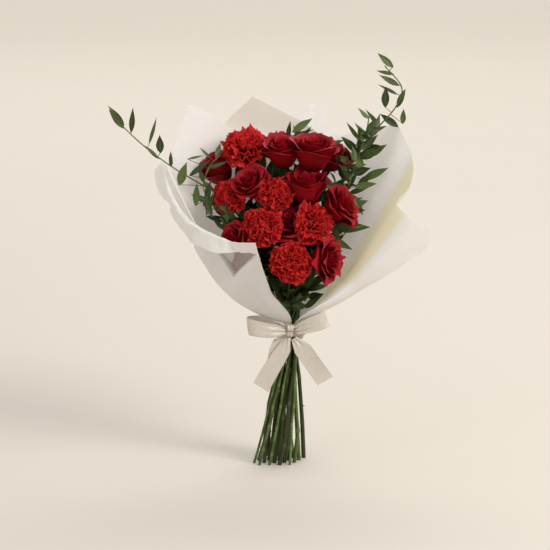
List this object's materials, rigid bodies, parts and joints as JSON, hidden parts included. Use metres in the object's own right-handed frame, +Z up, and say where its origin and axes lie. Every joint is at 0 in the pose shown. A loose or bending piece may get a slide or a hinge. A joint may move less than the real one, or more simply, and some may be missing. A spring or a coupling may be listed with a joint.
{
  "type": "bunch of carnations",
  "caption": "Hand-tied bunch of carnations and roses with ruscus sprigs, wrapped in paper and tied with a satin bow; stands on its spiralled, cut stems.",
  "frame": {"origin": "middle of the cut stem ends, on the surface the bunch stands on", "axes": "+Z up the stems towards the flowers, -Y towards the open front of the wrap, +X to the right of someone facing the flowers"},
  "size_m": [0.4493, 0.2497, 0.5868],
  "materials": {
    "carnation_petals": "matte",
    "rose_petals": "satin",
    "carnation_stem": "matte",
    "rose_stem": "satin",
    "ruscus_leaf": "satin",
    "wrap_paper": "matte",
    "ribbon_satin": "satin",
    "binding_twine": "matte"
  },
  "bodies": {
    "root": {"ruscus_sprig_1": "ruscus_leaf", "ruscus_sprig_2": "ruscus_leaf", "ruscus_sprig_3": "ruscus_leaf", "ruscus_sprig_4": "ruscus_leaf", "ruscus_sprig_5": "ruscus_leaf", "ruscus_sprig_6": "ruscus_leaf", "carnation_1_stem": "carnation_stem", "carnation_2_stem": "carnation_stem", "carnation_3_stem": "carnation_stem", "carnation_4_stem": "carnation_stem", "carnation_5_stem": "carnation_stem", "carnation_6_stem": "carnation_stem", "carnation_7_stem": "carnation_stem", "rose_1_stem": "rose_stem", "rose_2_stem": "rose_stem", "rose_3_stem": "rose_stem", "rose_4_stem": "rose_stem", "rose_5_stem": "rose_stem", "rose_6_stem": "rose_stem", "rose_7_stem": "rose_stem", "rose_8_stem": "rose_stem", "rose_9_stem": "rose_stem", "rose_10_stem": "rose_stem", "binding_twine": "binding_twine", "wrap_back_left": "wrap_paper", "wrap_back_middle": "wrap_paper", "wrap_back_right": "wrap_paper", "wrap_right": "wrap_paper", "wrap_left": "wrap_paper", "wrap_front_left": "wrap_paper", "ribbon_band": "ribbon_satin", "ribbon_knot": "ribbon_satin", "ribbon_loop_left": "ribbon_satin", "ribbon_loop_right": "ribbon_satin", "ribbon_tail_left": "ribbon_satin", "ribbon_tail_right": "ribbon_satin", "ribbon_tail_back": "ribbon_satin", "carnation_1_petals": "carnation_petals", "carnation_2_petals": "carnation_petals", "carnation_3_petals": "carnation_petals", "carnation_4_petals": "carnation_petals", "carnation_5_petals": "carnation_petals", "carnation_6_petals": "carnation_petals", "carnation_7_petals": "carnation_petals", "rose_1_petals": "rose_petals", "rose_2_petals": "rose_petals", "rose_3_petals": "rose_petals", "rose_4_petals": "rose_petals", "rose_5_petals": "rose_petals", "rose_6_petals": "rose_petals", "rose_7_petals": "rose_petals", "rose_8_petals": "rose_petals", "rose_9_petals": "rose_petals", "rose_10_petals": "rose_petals"}
  },
  "joints": []
}
